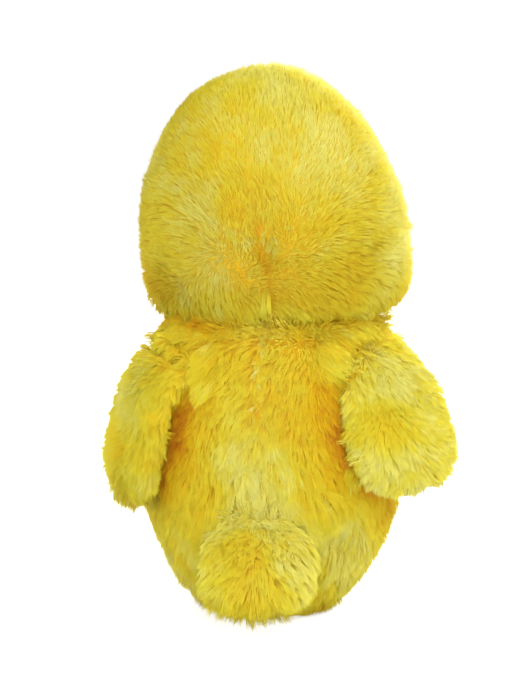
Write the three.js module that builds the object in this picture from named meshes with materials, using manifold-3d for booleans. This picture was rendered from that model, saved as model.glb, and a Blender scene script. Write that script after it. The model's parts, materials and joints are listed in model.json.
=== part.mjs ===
// Seated plush duckling: long-pile fur covers over loose fibre filling, two wings, a tail,
// two webbed feet, a bill and a pair of plastic eyes, with a pouch of pellets in the seat.
//
// Millimetres, +Z up. The face looks along -Y and the toy's own left side is +X.
// The origin is the middle of the flat seat, on the surface that the toy sits on.

import * as THREE from 'three';
import { mergeVertices } from 'three/addons/utils/BufferGeometryUtils.js';
import Module from 'manifold-3d';

const wasm = await Module();
wasm.setup();

// Fabric and fit
const FUR_FABRIC = 5;          // fur fabric with its pile pressed flat
const SOFT_FABRIC = 1.8;       // brushed fleece of the feet and the bill
const GAP = 0.3;               // room between two pieces that touch
const EDGE_SHY = 3;            // how far a flat limb's filling stops short of its edge seams
const SEAT_CUT = 0.5;          // how deep the seat is pressed flat

// Body, a sack that is widest low down and rounds in to the neck
const BODY_WIDTH = 130;
const BODY_DEPTH = 112;
const BODY_WIDEST = 78;        // level of the widest girth above the seat
const BODY_RISE = 92;          // from the widest girth to the top of the dome in the neck
const BODY_DROP = 84;          // from the widest girth to where the sides would close below
const BODY_SHARE_UP = { n: 2.6, m: 2.2 };
const BODY_SHARE_DOWN = { n: 1.5, m: 2.3 };

// Head, a dome with full cheeks and a flattened underside
const HEAD_WIDTH = 128;
const HEAD_DEPTH = 118;
const HEAD_RISE = 89;          // from the cheeks to the crown
const HEAD_DROP = 33;          // from the cheeks to the underside
const HEAD_SINK = 22;          // how far the underside sinks over the body's dome
const HEAD_FORWARD = 4;        // the head sits this far towards the face
const HEAD_ASIDE = -2.5;       // and this far towards the toy's right at the cheeks
const HEAD_TUCK = 0.14;        // share by which its depth draws in towards the underside
const HEAD_TUCK_FROM = 25;     // which starts this far above the cheeks
const HEAD_LEAN = 4;           // degrees that its crown leans towards the toy's left
const HEAD_SHARE_UP = { n: 2.2, m: 2.2 };
const HEAD_SHARE_DOWN = { n: 4.4, m: 3.2 };
const PLAN_POWER = 2.2;        // squareness of the body's and head's level sections

// Wings, flat paddles sewn to the shoulders along a slanting seam
const WING_LENGTH = 83;
const WING_WIDTH = 53;
const WING_ROOT_WIDTH = 42;
const WING_THICKNESS = 18;
const WING_ROOT_THICKNESS = 13;
const WING_SEAM_LEVEL = 0.71;  // the seam's middle, as a share of the way up to the dome's top
const WING_SEAM_SLANT = 16;    // how much higher its front end is
const WING_SEAM_SPREAD = 20;   // degrees to either side of its middle
const WING_HINGE_RAISE = 1.5;  // the fold lies this far above the seam's middle line
const WING_LIFT = 45;          // degrees that a wing lifts before the head stops it
const WING_ROOT_SINK = 9;      // the paddle starts this deep and is cut by the body
// The soft wings don't lie alike, and one is sewn on a little higher. round is where the seam's
// middle lies, from the back to the side. out and back are how far the wing hangs out and back
// from straight down, and face is which way its outer face looks, all in degrees. setOff is how
// far the shoulder holds it off the body, in millimetres.
const WINGS = [
  { name: 'wing_left', side: 1, round: 50, higher: 0, out: 20, back: -5, face: 60, setOff: 16 },
  { name: 'wing_right', side: -1, round: 54, higher: 2, out: 18, back: 12, face: 24, setOff: 15 },
];

// Tail, a broad stuffed flap low on the back
const TAIL_WIDTH = 50;
const TAIL_ROOT_WIDTH = 40;
const TAIL_THICKNESS = 24;
const TAIL_ROOT_THICKNESS = 46;
const TAIL_LEVEL = 48;         // middle of its root above the seat
const TAIL_ASIDE = 6;          // it is sewn on this far towards the toy's left
const TAIL_ROOT_SINK = 16;
const TAIL_REACH = 32;         // how far its end stands behind the body
const TAIL_FALL = 26;          // how far its end hangs below its root

// Feet, webbed and flat underneath
const FOOT_LENGTH = 64;
const FOOT_WIDTH = 38;
const FOOT_HEEL_WIDTH = 26;
const FOOT_THICKNESS = 14;
const FOOT_APART = 42;         // between the middles of the feet
const FOOT_SPLAY = 3;          // degrees that the toes turn outwards
const FOOT_HEEL = 14;          // the heel starts this far in front of the seat's middle
const FOOT_FOLD = 32;          // and the foot folds up this far in front of it
const FOOT_SQUARE = 0.65;      // below 1 the toes and the heel stand out squarer
const TOE_DIP = 4;             // depth of the dips between the three toes
const SOLE_THICKNESS = 1.8;

// Bill
const BILL_WIDTH = 48;
const BILL_ROOT_WIDTH = 36;
const BILL_LENGTH = 30;
const BILL_THICKNESS = 15;
const BILL_LEVEL = 5;          // middle of the mouth above the cheeks' level
const LOWER_BILL_WIDTH = 38;
const LOWER_BILL_LENGTH = 21;
const LOWER_BILL_THICKNESS = 9;
const BILL_ROOT_SINK = 6;

// Safety eyes, pushed through the cover and held by a washer inside
const EYE_DIAMETER = 12;
const EYE_DOME = 4;            // height of the dome over its rim
const EYE_APART_ANGLE = 28;    // degrees to either side of the bill
const EYE_LEVEL = 29;          // above the cheeks' level
const EYE_SEAT = 0.7;          // its flat back stands this far off the head's form
const EYE_EDGE = 0.5;          // how much its rim is rounded
const SHANK_DIAMETER = 3.4;
const SHANK_PLAY = 0.3;        // room round the shank in cloth and washer
const WASHER_DIAMETER = 13;
const WASHER_THICKNESS = 1.4;
const WASHER_PRESS = 0.6;      // how deep the washer presses into the cloth
const SHANK_END = 3;           // how far the shank stands out of the washer
const SHANK_TAPER = 0.8;       // length of its narrowed tip

// Pouch of pellets in the seat
const POUCH_DIAMETER = 66;
const POUCH_HEIGHT = 28;
const POUCH_PRESSED = 4;       // its underside is pressed this flat against the seat

// Facets
const BODY_FACETS = { sides: 34, levels: 19 };
const LINING_FACETS = { sides: 24, levels: 12 };
const LIMB_FACETS = { sides: 22, levels: 10 };
const LIMB_LINING_FACETS = { sides: 16, levels: 9 };
const ROUND_SIDES = 18;
const FOOT_SIDES = 38;

const fur = new THREE.MeshStandardMaterial({ color: 0xe0c948, roughness: 0.9, metalness: 0 });
const fibre = new THREE.MeshStandardMaterial({ color: 0xf3f2ec, roughness: 1, metalness: 0 });
const fleece = new THREE.MeshStandardMaterial({ color: 0xe8862a, roughness: 0.85, metalness: 0 });
const cotton = new THREE.MeshStandardMaterial({ color: 0xe9e4d8, roughness: 0.95, metalness: 0 });
const blackPlastic = new THREE.MeshStandardMaterial({ color: 0x0c0c0e, roughness: 0.12, metalness: 0 });
const clearPlastic = new THREE.MeshStandardMaterial({ color: 0xdedede, roughness: 0.5, metalness: 0 });

const radians = THREE.MathUtils.degToRad;
const vec = (x, y, z) => new THREE.Vector3(x, y, z);

// Closed solids from rings of points

function solid(geometry) {
  const bare = geometry.clone();
  bare.deleteAttribute('normal');
  bare.deleteAttribute('uv');
  const merged = mergeVertices(bare, 1e-4);
  return new wasm.Manifold(new wasm.Mesh({
    numProp: 3,
    vertProperties: merged.attributes.position.array,
    triVerts: Uint32Array.from(merged.index.array),
  }));
}

function geometryOf(body) {
  const { vertProperties, triVerts } = body.getMesh();
  const geometry = new THREE.BufferGeometry();
  geometry.setAttribute('position', new THREE.BufferAttribute(vertProperties, 3));
  geometry.setIndex(new THREE.BufferAttribute(triVerts, 1));
  geometry.computeVertexNormals();
  return geometry;
}

// Rings of the same count, each anticlockwise seen from the last ring, closed by a point at both ends.
function loft(start, rings, end) {
  const sides = rings[0].length;
  const points = [start, ...rings.flat(), end];
  const last = points.length - 1;
  const at = (ring, side) => 1 + ring * sides + (side % sides);
  const faces = [];
  for (let side = 0; side < sides; side += 1) {
    faces.push(0, at(0, side + 1), at(0, side));
    faces.push(last, at(rings.length - 1, side), at(rings.length - 1, side + 1));
    for (let ring = 0; ring < rings.length - 1; ring += 1) {
      faces.push(at(ring, side), at(ring, side + 1), at(ring + 1, side + 1));
      faces.push(at(ring, side), at(ring + 1, side + 1), at(ring + 1, side));
    }
  }
  const geometry = new THREE.BufferGeometry().setFromPoints(points);
  geometry.setIndex(faces);
  return solid(geometry);
}

const eased = (value, power) => Math.sign(value) * Math.abs(value) ** power;

// Share of the full girth that is left at a share of the way to where the form closes.
const girth = (way, { n, m }) => Math.max(0, 1 - way ** n) ** (1 / m);

// Body and head: level sections round an upright line

const headWidest = BODY_WIDEST + BODY_RISE - HEAD_SINK + HEAD_DROP;

const body = {
  widest: BODY_WIDEST,
  section(z, grow) {
    const above = z >= BODY_WIDEST;
    const way = Math.abs(z - BODY_WIDEST) / ((above ? BODY_RISE : BODY_DROP) + grow);
    const share = girth(Math.min(way, 1), above ? BODY_SHARE_UP : BODY_SHARE_DOWN);
    return { x: 0, y: 0, a: (BODY_WIDTH / 2 + grow) * share, b: (BODY_DEPTH / 2 + grow) * share };
  },
  bottom: (grow) => -SEAT_CUT - grow,
  top: (grow) => BODY_WIDEST + BODY_RISE + grow,
  seatShare: 0.85,
};

const head = {
  widest: headWidest,
  section(z, grow) {
    const above = z >= headWidest;
    const way = Math.abs(z - headWidest) / ((above ? HEAD_RISE : HEAD_DROP) + grow);
    const share = girth(Math.min(way, 1), above ? HEAD_SHARE_UP : HEAD_SHARE_DOWN);
    const below = Math.max(0, headWidest + HEAD_TUCK_FROM - z) / (HEAD_TUCK_FROM + HEAD_DROP);
    const depth = (HEAD_DEPTH / 2) * (1 - HEAD_TUCK * below ** 2) + grow;
    return {
      x: HEAD_ASIDE + Math.tan(radians(HEAD_LEAN)) * (z - headWidest),
      y: -HEAD_FORWARD,
      a: (HEAD_WIDTH / 2 + grow) * share,
      b: depth * share,
    };
  },
  bottom: (grow) => headWidest - HEAD_DROP - grow,
  top: (grow) => headWidest + HEAD_RISE + grow,
  seatShare: 0,
};

// A point of a form's surface, at an angle round from the back towards the toy's left.
function surfacePoint(form, angle, z, grow = 0) {
  const { x, y, a, b } = form.section(z, grow);
  const turn = radians(angle);
  const power = 2 / PLAN_POWER;
  return vec(x + a * eased(Math.sin(turn), power), y + b * eased(Math.cos(turn), power), z);
}

function surfaceNormal(form, angle, z) {
  const round = surfacePoint(form, angle + 1, z).sub(surfacePoint(form, angle - 1, z));
  const up = surfacePoint(form, angle, z + 1).sub(surfacePoint(form, angle, z - 1));
  return up.cross(round).normalize();
}

// The form itself, or one that is the same distance outside or inside it all over.
function stuffedForm(form, grow, { sides, levels }) {
  const low = form.bottom(grow);
  const high = form.top(grow);
  const ringAt = (z, share = 1) => Array.from({ length: sides }, (_, side) => {
    const point = surfacePoint(form, (-360 * side) / sides, z, grow);
    const middle = form.section(z, grow);
    return vec(
      middle.x + (point.x - middle.x) * share,
      middle.y + (point.y - middle.y) * share,
      z,
    );
  });
  const rings = [];
  if (form.seatShare) {
    const flat = ringAt(low + 2 * SEAT_CUT, form.seatShare);
    rings.push(flat.map((point) => point.setZ(low + SEAT_CUT / 2)));
  }
  for (let level = 1; level < levels; level += 1) {
    const share = 0.5 - 0.5 * Math.cos((Math.PI * level) / levels);
    rings.push(ringAt(low + 2 * SEAT_CUT * Math.sign(form.seatShare) * (1 - share) + (high - low) * share));
  }
  const axisAt = (z) => vec(form.section(z, grow).x, form.section(z, grow).y, z);
  return loft(axisAt(low), rings, axisAt(high));
}

// Wings, tail and bill: flat sections along a curved middle line

// spec: root, bend and end points of the middle line, rootAcross and endAcross directions of the
// width, and full sizes rootWidth, width, rootThickness, thickness; widest is where they are reached.
// inset takes the paddle in all over. slack takes its sections in a little more, and shy their edges.
function paddle(spec, inset, { sides, levels }, slack = 0, shy = 0) {
  const line = new THREE.QuadraticBezierCurve3(spec.root, spec.bend, spec.end);
  const reach = Math.min(1, 1 - inset / line.getLength());
  const tip = line.getPointAt(reach).addScaledVector(line.getTangentAt(1), Math.max(0, -inset) - slack);
  const { widest, closing } = spec;
  const rings = [];
  for (let level = 0; level < levels; level += 1) {
    const way = Math.sin((Math.PI / 2) * (level / levels));
    const swell = Math.sin((Math.PI / 2) * Math.min(way / widest, 1));
    const past = Math.max(0, (way - widest) / (1 - widest));
    const closed = (1 - past ** closing) ** (1 / 2.2);
    const width = THREE.MathUtils.lerp(spec.rootWidth, spec.width, swell);
    const thickness = THREE.MathUtils.lerp(spec.rootThickness, spec.thickness, swell);
    const halfWidth = (width / 2 - inset - slack - shy) * closed;
    const halfThickness = (thickness / 2 - inset - slack) * closed;
    const along = line.getTangentAt(way * reach);
    const turned = THREE.MathUtils.smoothstep(way, 0, widest);
    const across = spec.rootAcross.clone().lerp(spec.endAcross, turned);
    across.addScaledVector(along, -across.dot(along)).normalize();
    const out = along.clone().cross(across);
    const middle = line.getPointAt(way * reach);
    rings.push(Array.from({ length: sides }, (_, side) => {
      const turn = (2 * Math.PI * side) / sides;
      return middle.clone()
        .addScaledVector(across, halfWidth * Math.cos(turn))
        .addScaledVector(out, halfThickness * Math.sin(turn));
    }));
  }
  return loft(line.getPointAt(0), rings, tip);
}

// A cover that is open where it is sewn on, and what fills it.
function stuffedPaddle(spec, fabric, cutters, facets, liningFacets) {
  const cut = (form) => cutters.reduce((rest, cutter) => rest.subtract(cutter), form);
  return {
    cover: cut(paddle(spec, 0, facets).subtract(paddle(spec, fabric, liningFacets))),
    filling: cut(paddle(spec, fabric, liningFacets, GAP, EDGE_SHY)),
  };
}

// Feet: a flat outline round a middle point, with three toes, that may be rounded over at its edge

function footPad(inset, low, high, roundedOver) {
  const ringAt = (size, z) => Array.from({ length: FOOT_SIDES }, (_, side) => {
    const turn = (2 * Math.PI * side) / FOOT_SIDES;
    const across = Math.sin(turn);
    const forward = eased(Math.cos(turn), FOOT_SQUARE);
    const halfWidth = THREE.MathUtils.lerp(FOOT_HEEL_WIDTH, FOOT_WIDTH, (1 + forward) / 2) / 2 - inset;
    const dip = (TOE_DIP * (1 - Math.cos(3 * Math.PI * across))) / 2;
    const reach = (FOOT_LENGTH / 2 - inset) * forward - dip * Math.max(0, forward);
    return vec(across * halfWidth * size, -reach * size, z);
  });
  const rings = [ringAt(1, low)];
  if (roundedOver) {
    for (const size of [0.97, 0.88, 0.72, 0.45]) {
      rings.push(ringAt(size, low + (high - low) * Math.sqrt(1 - size ** 2.6)));
    }
  } else {
    rings.push(ringAt(1, high));
  }
  return loft(vec(0, 0, low), rings, vec(0, 0, high));
}

// Putting pieces into groups

const toy = new THREE.Group();

function add(group, name, body, material) {
  const mesh = new THREE.Mesh(geometryOf(body), material);
  mesh.name = name;
  group.updateMatrixWorld(true);
  mesh.geometry.applyMatrix4(group.matrixWorld.clone().invert());
  group.add(mesh);
}

// A group that turns about its own X axis, which runs through the point along the axis.
function hingeGroup(point, axis) {
  const group = new THREE.Group();
  group.position.copy(point);
  group.quaternion.setFromUnitVectors(vec(1, 0, 0), axis.clone().normalize());
  toy.add(group);
  return group;
}

function turned(body, matrix) {
  return solid(geometryOf(body).applyMatrix4(matrix));
}

function turnedAbout(body, point, axis, degrees) {
  const matrix = new THREE.Matrix4().makeTranslation(point)
    .multiply(new THREE.Matrix4().makeRotationAxis(axis, radians(degrees)))
    .multiply(new THREE.Matrix4().makeTranslation(point.clone().negate()));
  return turned(body, matrix);
}

const wide = 2 * (BODY_WIDTH + HEAD_WIDTH);
const underFloor = solid(new THREE.BoxGeometry(wide, wide, wide).translate(0, 0, -wide / 2));

// Body and head

const bodyForm = stuffedForm(body, 0, BODY_FACETS);
const bodyRoom = stuffedForm(body, GAP, BODY_FACETS);
const bodyLining = stuffedForm(body, -FUR_FABRIC, LINING_FACETS);
const bodyFill = stuffedForm(body, -FUR_FABRIC - GAP, LINING_FACETS);
const headForm = stuffedForm(head, 0, BODY_FACETS);
const headRoom = stuffedForm(head, GAP, BODY_FACETS);
const headLining = stuffedForm(head, -FUR_FABRIC, LINING_FACETS);
const headFill = stuffedForm(head, -FUR_FABRIC - GAP, LINING_FACETS);

const bodyCover = bodyForm.subtract(underFloor).subtract(bodyLining).subtract(headLining);
add(toy, 'body_cover', bodyCover, fur);

// The pouch lies on the seat's lining, and the filling closes over it.
function pouch(grow) {
  const profile = [];
  const steps = 8;
  for (let step = 0; step <= steps; step += 1) {
    const turn = (Math.PI * step) / steps;
    const radius = (POUCH_DIAMETER / 2 + grow) * eased(Math.sin(turn), 0.8);
    const height = (-POUCH_HEIGHT / 2 - grow) * eased(Math.cos(turn), 0.8);
    profile.push(new THREE.Vector2(Math.max(radius, 0), height));
  }
  const form = new THREE.LatheGeometry(profile, ROUND_SIDES);
  form.rotateX(Math.PI / 2);
  form.translate(0, 0, body.bottom(-FUR_FABRIC - GAP) + POUCH_HEIGHT / 2 - POUCH_PRESSED);
  return solid(form);
}

add(toy, 'pellet_pouch', pouch(0).intersect(bodyFill), cotton);
add(toy, 'body_filling', bodyFill.subtract(pouch(GAP)), fibre);

// Eyes: dome, rim and shank are one moulding. Local +Z points out of the head.

const eyes = [];
for (const [side, sideName] of [[1, 'left'], [-1, 'right']]) {
  const angle = 180 - side * EYE_APART_ANGLE;
  const level = headWidest + EYE_LEVEL;
  const rim = surfacePoint(head, angle, level);
  const out = surfaceNormal(head, angle, level);
  const group = new THREE.Group();
  group.position.copy(rim);
  group.quaternion.setFromUnitVectors(vec(0, 0, 1), out);
  toy.add(group);
  group.updateMatrixWorld(true);
  eyes.push({ group, sideName });
}

const washerOut = -FUR_FABRIC + WASHER_PRESS;
const shankEnd = washerOut - WASHER_THICKNESS - SHANK_END;

function lathed(profile) {
  const form = new THREE.LatheGeometry(profile.map(([r, z]) => new THREE.Vector2(r, z)), ROUND_SIDES);
  return form.rotateX(Math.PI / 2);
}

function eyeGeometry() {
  const rim = EYE_DIAMETER / 2;
  const shank = SHANK_DIAMETER / 2;
  const profile = [[0, shankEnd], [shank - SHANK_TAPER / 2, shankEnd], [shank, shankEnd + SHANK_TAPER]];
  profile.push([shank, EYE_SEAT], [rim - EYE_EDGE, EYE_SEAT], [rim, EYE_SEAT + EYE_EDGE]);
  const steps = 6;
  for (let step = 1; step < steps; step += 1) {
    const turn = (Math.PI / 2) * (step / steps);
    profile.push([rim * Math.cos(turn), EYE_SEAT + EYE_EDGE + EYE_DOME * Math.sin(turn)]);
  }
  profile.push([0, EYE_SEAT + EYE_EDGE + EYE_DOME]);
  return lathed(profile);
}

function washerGeometry() {
  const hole = SHANK_DIAMETER / 2 + SHANK_PLAY;
  const back = washerOut - WASHER_THICKNESS;
  const rim = WASHER_DIAMETER / 2;
  return lathed([[hole, back], [rim, back], [rim, washerOut], [hole, washerOut], [hole, back]]);
}

function pocketGeometry(radius, low, high) {
  return lathed([[0, low], [radius, low], [radius, high], [0, high]]);
}

let headCover = headForm.subtract(headLining).subtract(bodyRoom);
let headFilling = headFill.subtract(bodyLining);
for (const { group, sideName } of eyes) {
  const place = (geometry) => solid(geometry.applyMatrix4(group.matrixWorld));
  const shankHole = SHANK_DIAMETER / 2 + SHANK_PLAY;
  const washerRoom = WASHER_DIAMETER / 2 + GAP;
  headCover = headCover
    .subtract(place(pocketGeometry(shankHole, shankEnd, EYE_DOME)))
    .subtract(place(pocketGeometry(washerRoom, shankEnd - GAP, washerOut + GAP)));
  headFilling = headFilling.subtract(place(pocketGeometry(washerRoom, shankEnd - GAP, EYE_DOME)));
  add(group, `eye_${sideName}`, place(eyeGeometry()), blackPlastic);
  add(group, `eye_washer_${sideName}`, place(washerGeometry()), clearPlastic);
}
add(toy, 'head_cover', headCover, fur);
add(toy, 'head_filling', headFilling, fibre);

// Bill

function billSpec(width, rootWidth, length, thickness, level) {
  const root = surfacePoint(head, 180, level);
  root.x = head.section(level, 0).x;
  return {
    root: root.clone().add(vec(0, BILL_ROOT_SINK, 0)),
    bend: root.clone().add(vec(0, -length / 2, thickness / 8)),
    end: root.clone().add(vec(0, -length, thickness / 4)),
    rootAcross: vec(-1, 0, 0),
    endAcross: vec(-1, 0, 0),
    rootWidth,
    width,
    rootThickness: thickness,
    thickness: thickness * 0.85,
    widest: 0.6,
    closing: 2.4,
  };
}

const mouth = headWidest + BILL_LEVEL;
const upperBill = billSpec(BILL_WIDTH, BILL_ROOT_WIDTH, BILL_LENGTH, BILL_THICKNESS, mouth + BILL_THICKNESS / 2);
const lowerLevel = mouth - LOWER_BILL_THICKNESS / 2 - GAP;
const lowerRoot = BILL_ROOT_WIDTH * (LOWER_BILL_WIDTH / BILL_WIDTH);
const lowerBill = billSpec(LOWER_BILL_WIDTH, lowerRoot, LOWER_BILL_LENGTH, LOWER_BILL_THICKNESS, lowerLevel);
const upper = stuffedPaddle(upperBill, SOFT_FABRIC, [headRoom], LIMB_FACETS, LIMB_LINING_FACETS);
const lowerForm = paddle(lowerBill, 0, LIMB_LINING_FACETS).subtract(headRoom);
add(toy, 'bill_upper_cover', upper.cover, fleece);
add(toy, 'bill_upper_filling', upper.filling, fibre);
add(toy, 'bill_lower', lowerForm.subtract(paddle(upperBill, -GAP, LIMB_FACETS)), fleece);

// Wings. Each hinge runs along the top of its seam, where the cloth folds.

for (const { name, side, round, higher, out, back, face, setOff } of WINGS) {
  const level = THREE.MathUtils.lerp(body.widest, body.top(0), WING_SEAM_LEVEL) + higher;
  const seamPoint = (share) => surfacePoint(
    body,
    side * (round + share * WING_SEAM_SPREAD),
    level + (share * WING_SEAM_SLANT) / 2,
  );
  const middle = seamPoint(0);
  const normal = surfaceNormal(body, side * round, level);
  const seam = seamPoint(1).sub(seamPoint(-1)).normalize();
  const hang = vec(side * Math.tan(radians(out)), Math.tan(radians(back)), -1).setLength(WING_LENGTH);
  const facing = radians(face);
  const spec = {
    root: middle.clone().addScaledVector(normal, -WING_ROOT_SINK),
    bend: middle.clone().addScaledVector(normal, setOff).addScaledVector(hang, 0.3),
    end: middle.clone().add(hang),
    rootAcross: seam,
    endAcross: vec(side * Math.cos(facing), -Math.sin(facing), 0),
    rootWidth: WING_ROOT_WIDTH,
    width: WING_WIDTH,
    rootThickness: WING_ROOT_THICKNESS,
    thickness: WING_THICKNESS,
    widest: 0.55,
    closing: 3,
  };
  const raised = seam.clone().cross(normal).setLength(side * WING_HINGE_RAISE);
  const fold = middle.clone().add(raised);
  const axis = seam.clone().multiplyScalar(side);
  // The shoulder is shaped to clear the head from rest to the top of the lift.
  const headSweep = [0, 0.5, 0.75, 1].map((share) => turnedAbout(headRoom, fold, axis, -share * WING_LIFT));
  const cutters = [bodyRoom, ...headSweep];
  const { cover, filling } = stuffedPaddle(spec, FUR_FABRIC, cutters, LIMB_FACETS, LIMB_LINING_FACETS);
  const group = hingeGroup(fold, axis);
  add(group, `${name}_cover`, cover, fur);
  add(group, `${name}_filling`, filling, fibre);
}

// Tail

{
  const tailPoint = (z) => surfacePoint(body, 0, z).add(vec(TAIL_ASIDE, 0, 0));
  const root = tailPoint(TAIL_LEVEL);
  const spec = {
    root: root.clone().add(vec(0, -TAIL_ROOT_SINK, 0)),
    bend: root.clone().add(vec(0, TAIL_REACH / 2, 0)),
    end: root.clone().add(vec(0, TAIL_REACH, -TAIL_FALL)),
    rootAcross: vec(1, 0, 0),
    endAcross: vec(1, 0, 0),
    rootWidth: TAIL_ROOT_WIDTH,
    width: TAIL_WIDTH,
    rootThickness: TAIL_ROOT_THICKNESS,
    thickness: TAIL_THICKNESS,
    widest: 0.6,
    closing: 2.6,
  };
  const { cover, filling } = stuffedPaddle(spec, FUR_FABRIC, [bodyRoom], LIMB_FACETS, LIMB_LINING_FACETS);
  const top = TAIL_LEVEL + TAIL_ROOT_THICKNESS / 2;
  const group = hingeGroup(tailPoint(top), vec(1, 0, 0));
  add(group, 'tail_cover', cover, fur);
  add(group, 'tail_filling', filling, fibre);
}

// Feet

for (const [side, sideName] of [[1, 'left'], [-1, 'right']]) {
  const turn = new THREE.Matrix4().makeRotationZ(side * radians(FOOT_SPLAY));
  const shift = new THREE.Matrix4().makeTranslation((side * FOOT_APART) / 2, -FOOT_HEEL - FOOT_LENGTH / 2, 0);
  const place = shift.multiply(turn);
  const topLow = SOLE_THICKNESS + GAP;
  const hollow = footPad(SOFT_FABRIC, topLow, FOOT_THICKNESS - SOFT_FABRIC, true)
    .add(footPad(SOFT_FABRIC, topLow - SOFT_FABRIC, topLow, false));
  const top = footPad(0, topLow, FOOT_THICKNESS, true).subtract(hollow);
  const filling = footPad(SOFT_FABRIC + GAP, topLow, FOOT_THICKNESS - SOFT_FABRIC - GAP, true);
  const sole = footPad(0, 0, SOLE_THICKNESS, false);
  const set = (form) => turned(form, place).subtract(bodyRoom);
  const group = hingeGroup(vec((side * FOOT_APART) / 2, -FOOT_FOLD, FOOT_THICKNESS), vec(-1, 0, 0));
  add(group, `foot_${sideName}_top`, set(top), fleece);
  add(group, `foot_${sideName}_filling`, set(filling), fibre);
  add(group, `foot_${sideName}_sole`, set(sole), fleece);
}

export default toy;
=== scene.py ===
import json
import math

import bmesh
import bpy
import numpy as np
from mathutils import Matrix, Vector
from mathutils.bvhtree import BVHTree
from mathutils.kdtree import KDTree


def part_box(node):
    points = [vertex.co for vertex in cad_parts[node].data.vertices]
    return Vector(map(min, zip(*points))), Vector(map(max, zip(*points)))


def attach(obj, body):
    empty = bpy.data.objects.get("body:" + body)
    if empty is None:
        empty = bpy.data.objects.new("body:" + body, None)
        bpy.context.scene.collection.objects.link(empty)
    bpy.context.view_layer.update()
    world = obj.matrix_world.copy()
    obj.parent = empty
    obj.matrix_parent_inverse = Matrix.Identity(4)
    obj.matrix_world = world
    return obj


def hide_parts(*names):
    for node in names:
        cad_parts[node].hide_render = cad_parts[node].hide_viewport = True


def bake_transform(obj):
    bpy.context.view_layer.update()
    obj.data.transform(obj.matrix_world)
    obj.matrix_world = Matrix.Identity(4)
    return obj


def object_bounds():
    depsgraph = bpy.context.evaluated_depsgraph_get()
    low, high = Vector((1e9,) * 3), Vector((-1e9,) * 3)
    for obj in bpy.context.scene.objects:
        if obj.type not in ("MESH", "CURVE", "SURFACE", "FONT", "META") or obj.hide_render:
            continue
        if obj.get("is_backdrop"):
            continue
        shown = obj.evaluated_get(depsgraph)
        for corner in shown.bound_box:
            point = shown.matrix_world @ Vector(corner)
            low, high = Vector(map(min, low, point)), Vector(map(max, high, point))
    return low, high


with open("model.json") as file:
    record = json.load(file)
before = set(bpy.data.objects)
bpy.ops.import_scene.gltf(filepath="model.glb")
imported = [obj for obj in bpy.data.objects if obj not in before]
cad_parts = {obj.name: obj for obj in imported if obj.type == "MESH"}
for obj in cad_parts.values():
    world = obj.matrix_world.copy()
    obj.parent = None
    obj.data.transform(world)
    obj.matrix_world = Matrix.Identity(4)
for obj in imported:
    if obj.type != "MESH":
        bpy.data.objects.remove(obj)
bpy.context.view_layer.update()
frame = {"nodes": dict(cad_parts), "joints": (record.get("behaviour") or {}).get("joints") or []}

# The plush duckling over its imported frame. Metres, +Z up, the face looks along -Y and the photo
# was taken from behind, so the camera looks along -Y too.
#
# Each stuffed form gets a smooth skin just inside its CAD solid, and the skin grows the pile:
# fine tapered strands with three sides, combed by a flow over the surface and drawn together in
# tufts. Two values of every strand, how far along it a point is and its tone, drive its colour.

MM = 0.001
SKIN_SHADING = 0.9  # share of the skin's own shading in that of its pile
TONES = 64  # steps of tone, so that a column of the bake's map holds one colour
MOST_TRIANGLES = 190_000  # in one piece of pile
STRAND_RADIUS = 0.17 * MM  # where a strand starts
STRANDS = {  # sown on each skin; those that another piece covers are left out
    "head": 110_000, "body": 130_000, "wing_left": 40_000, "wing_right": 40_000, "tail": 20_000,
    "bill": 9_000, "foot": 16_000,
}
TUFT_PULL = 0.2  # how far the strands of a single tuft are drawn to its middle one
SWELL = 3  # pressure of the stuffing of bill and feet
EYE_SIDES = 48
FLOOR_REACH = 4.0  # from the toy to the floor's edge
PROBE = Vector((0.31, 0.17, 0.93)).normalized()  # the way that a line runs to find what is inside

# Camera, matched to the photo
VIEW_ELEVATION = 8  # degrees
VIEW_DISTANCE = 1000 * MM
VIEW_TARGET = Vector((4.25, 0, 131.5)) * MM
VIEW_LENS = 102.857

# Places on the toy that the pile follows
HEAD_MIDDLE = np.array((4.5, 0, 195)) * MM
HEAD_SWIRL = np.array((4.5, 56, 181)) * MM  # where the pile of the head's back turns
HEAD_SEAM = ((2, 160), (2, 168), (2.5, 176), (5.5, 184), (6.3, 196), (5, 206))  # its seam, from behind: x, z
WING_FOLD = ((44, 108), (46, 100), (48, 92), (50, 84))  # the left wing's edge by the body: x, z
EDGE_HEIGHTS = (66, 84, 96, 108, 120)  # where the back meets the wings: z in mm, and its x
LEFT_EDGE = (54, 49, 46, 41, 31)
RIGHT_EDGE = (-50, -38, -32, -29, -25)
HEAD_DIMPLE = np.array((2, 56, 177)) * MM  # the shaded dent under the knob of pile
SEAM_TOP = np.array((4.5, 0, 160)) * MM  # the seam down the back, seen from behind
SEAM_LOW = np.array((10, 0, 68)) * MM
LOW_TUFT = np.array((-35, 40, 47)) * MM  # the swirl of pale tufts low on the right
WING_HOLLOW = np.array((-55, 47, 104)) * MM  # the soft dent in the right wing
TAIL_MIDDLE = np.array((8, 84, 39)) * MM  # where the tail's pile starts to fan out
TAIL_TOP = np.array((6, 56, 82)) * MM  # the back's pile that falls over the tail


# Small helpers

def link(piece):
    bpy.context.scene.collection.objects.link(piece)
    return piece


def unit(vectors):
    return vectors / np.maximum(np.linalg.norm(vectors, axis=-1, keepdims=True), 1e-12)


def ease(values, low, high):
    way = np.clip((values - low) / (high - low), 0, 1)
    return way * way * (3 - 2 * way)


def mix(a, b, share):
    return a + (b - a) * share


def ease_mm(values, low, high):
    return ease(values, low * MM, high * MM)


def bell(values, width):
    """1 at 0, falling off on both sides over this width in mm."""
    return np.exp(-((values / (width * MM)) ** 2))


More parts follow.
